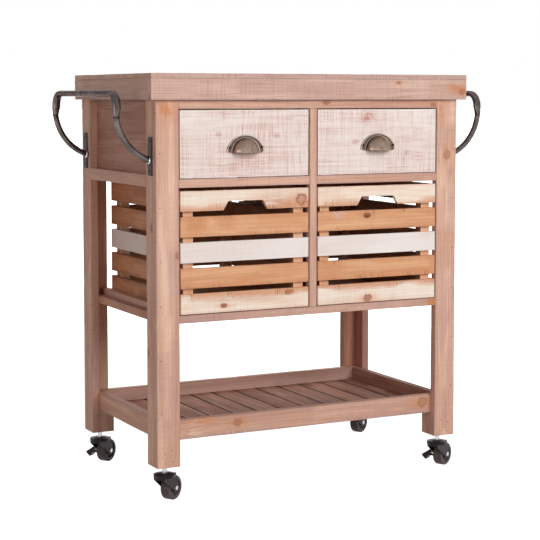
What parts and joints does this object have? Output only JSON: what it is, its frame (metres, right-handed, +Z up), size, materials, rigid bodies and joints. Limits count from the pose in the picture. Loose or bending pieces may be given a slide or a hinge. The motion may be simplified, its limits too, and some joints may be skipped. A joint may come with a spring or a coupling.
{
  "type": "kitchen cart",
  "caption": "Wooden kitchen cart on swivel casters, with a planked top, drawers over pull-out slatted crates, a slatted bottom shelf and bent bar handles.",
  "frame": {"origin": "on the floor, under the middle of the cart's overall footprint", "axes": "+Z up, +X to the right as seen from the front, -Y out of the drawer fronts"},
  "size_m": [0.8674, 0.461, 0.865],
  "materials": {
    "wood_top": "weathered, brushed, thin brown stain",
    "wood_frame": "weathered, brushed, thin brown stain",
    "wood_box": "raw softwood",
    "wood_crate": "sawn softwood, some slats whitewashed or stained",
    "dark_iron": "dark, worn, slightly glossy",
    "antique_brass": "aged, brushed",
    "black_plastic": "satin",
    "grey_rubber": "matte",
    "zinc": "bright zinc plating"
  },
  "bodies": {
    "frame": {"worktop_planks": "wood_top", "worktop_edges": "wood_top", "worktop_battens": "wood_frame", "leg_front_left": "wood_frame", "leg_front_right": "wood_frame", "leg_back_left": "wood_frame", "leg_back_right": "wood_frame", "foot_blocks": "wood_frame", "top_rail": "wood_frame", "mid_rails": "wood_frame", "bottom_rail": "wood_frame", "center_divider": "wood_frame", "side_panels": "wood_frame", "side_rails": "wood_frame", "back_panel": "wood_frame", "back_rails": "wood_frame", "drawer_runners": "wood_frame", "crate_runners": "wood_frame", "shelf_long_boards": "wood_frame", "shelf_end_boards": "wood_frame", "shelf_slats": "wood_frame", "handle_left": "dark_iron", "handle_right": "dark_iron", "handle_plates": "dark_iron", "handle_screws": "dark_iron", "caster_stems": "zinc"},
    "drawer_left": {"drawer_left_front": "wood_frame", "drawer_left_sides": "wood_box", "drawer_left_back": "wood_box", "drawer_left_bottom": "wood_box", "drawer_left_pull": "antique_brass", "drawer_left_pull_screws": "antique_brass"},
    "drawer_right": {"drawer_right_front": "wood_frame", "drawer_right_sides": "wood_box", "drawer_right_back": "wood_box", "drawer_right_bottom": "wood_box", "drawer_right_pull": "antique_brass", "drawer_right_pull_screws": "antique_brass"},
    "crate_left": {"crate_left_front_slats": "wood_crate", "crate_left_wall_slats": "wood_crate", "crate_left_posts": "wood_crate", "crate_left_floor": "wood_crate"},
    "crate_right": {"crate_right_front_slats": "wood_crate", "crate_right_wall_slats": "wood_crate", "crate_right_posts": "wood_crate", "crate_right_floor": "wood_crate"},
    "caster_front_left": {"caster_fork_front_left": "black_plastic", "caster_axle_front_left": "zinc"},
    "wheel_front_left": {"caster_wheel_front_left": "grey_rubber"},
    "caster_front_right": {"caster_fork_front_right": "black_plastic", "caster_axle_front_right": "zinc"},
    "wheel_front_right": {"caster_wheel_front_right": "grey_rubber"},
    "brake_front_right": {"brake_lever_front_right": "black_plastic"},
    "caster_back_left": {"caster_fork_back_left": "black_plastic", "caster_axle_back_left": "zinc"},
    "wheel_back_left": {"caster_wheel_back_left": "grey_rubber"},
    "brake_back_left": {"brake_lever_back_left": "black_plastic"},
    "caster_back_right": {"caster_fork_back_right": "black_plastic", "caster_axle_back_right": "zinc"},
    "wheel_back_right": {"caster_wheel_back_right": "grey_rubber"}
  },
  "joints": [
    {"name": "drawer_left_slide", "type": "slide", "parent": "frame", "child": "drawer_left", "axis": [0, -1, 0], "range_m": [0, 0.28]},
    {"name": "drawer_right_slide", "type": "slide", "parent": "frame", "child": "drawer_right", "axis": [0, -1, 0], "range_m": [0, 0.28]},
    {"name": "crate_left_slide", "type": "slide", "parent": "frame", "child": "crate_left", "axis": [0, -1, 0], "range_m": [-0.02, 0.3]},
    {"name": "crate_right_slide", "type": "slide", "parent": "frame", "child": "crate_right", "axis": [0, -1, 0], "range_m": [-0.02, 0.3]},
    {"name": "caster_front_left_swivel", "type": "hinge", "parent": "frame", "child": "caster_front_left", "pos_m": [-0.3275, -0.18145, 0.055], "axis": [0, 0, 1], "continuous": true},
    {"name": "wheel_front_left_roll", "type": "hinge", "parent": "caster_front_left", "child": "wheel_front_left", "pos_m": [-0.30737, -0.16838, 0.025], "axis": [0.5446, -0.8387, 0], "continuous": true},
    {"name": "caster_front_right_swivel", "type": "hinge", "parent": "frame", "child": "caster_front_right", "pos_m": [0.3275, -0.18145, 0.055], "axis": [0, 0, 1], "continuous": true},
    {"name": "wheel_front_right_roll", "type": "hinge", "parent": "caster_front_right", "child": "wheel_front_right", "pos_m": [0.34888, -0.17056, 0.025], "axis": [0.454, -0.891, 0], "continuous": true},
    {"name": "brake_front_right_press", "type": "hinge", "parent": "caster_front_right", "child": "brake_front_right", "pos_m": [0.32986, -0.16185, 0.034], "axis": [-0.891, -0.454, 0], "range_deg": [0, 8]},
    {"name": "caster_back_left_swivel", "type": "hinge", "parent": "frame", "child": "caster_back_left", "pos_m": [-0.3275, 0.18655, 0.055], "axis": [0, 0, 1], "continuous": true},
    {"name": "wheel_back_left_roll", "type": "hinge", "parent": "caster_back_left", "child": "wheel_back_left", "pos_m": [-0.30784, 0.20031, 0.025], "axis": [0.5736, -0.8192, 0], "continuous": true},
    {"name": "brake_back_left_press", "type": "hinge", "parent": "caster_back_left", "child": "brake_back_left", "pos_m": [-0.3279, 0.20629, 0.034], "axis": [-0.8192, -0.5736, 0], "range_deg": [0, 8]},
    {"name": "caster_back_right_swivel", "type": "hinge", "parent": "frame", "child": "caster_back_right", "pos_m": [0.3275, 0.18655, 0.055], "axis": [0, 0, 1], "continuous": true},
    {"name": "wheel_back_right_roll", "type": "hinge", "parent": "caster_back_right", "child": "wheel_back_right", "pos_m": [0.34869, 0.19781, 0.025], "axis": [0.4695, -0.8829, 0], "continuous": true}
  ]
}
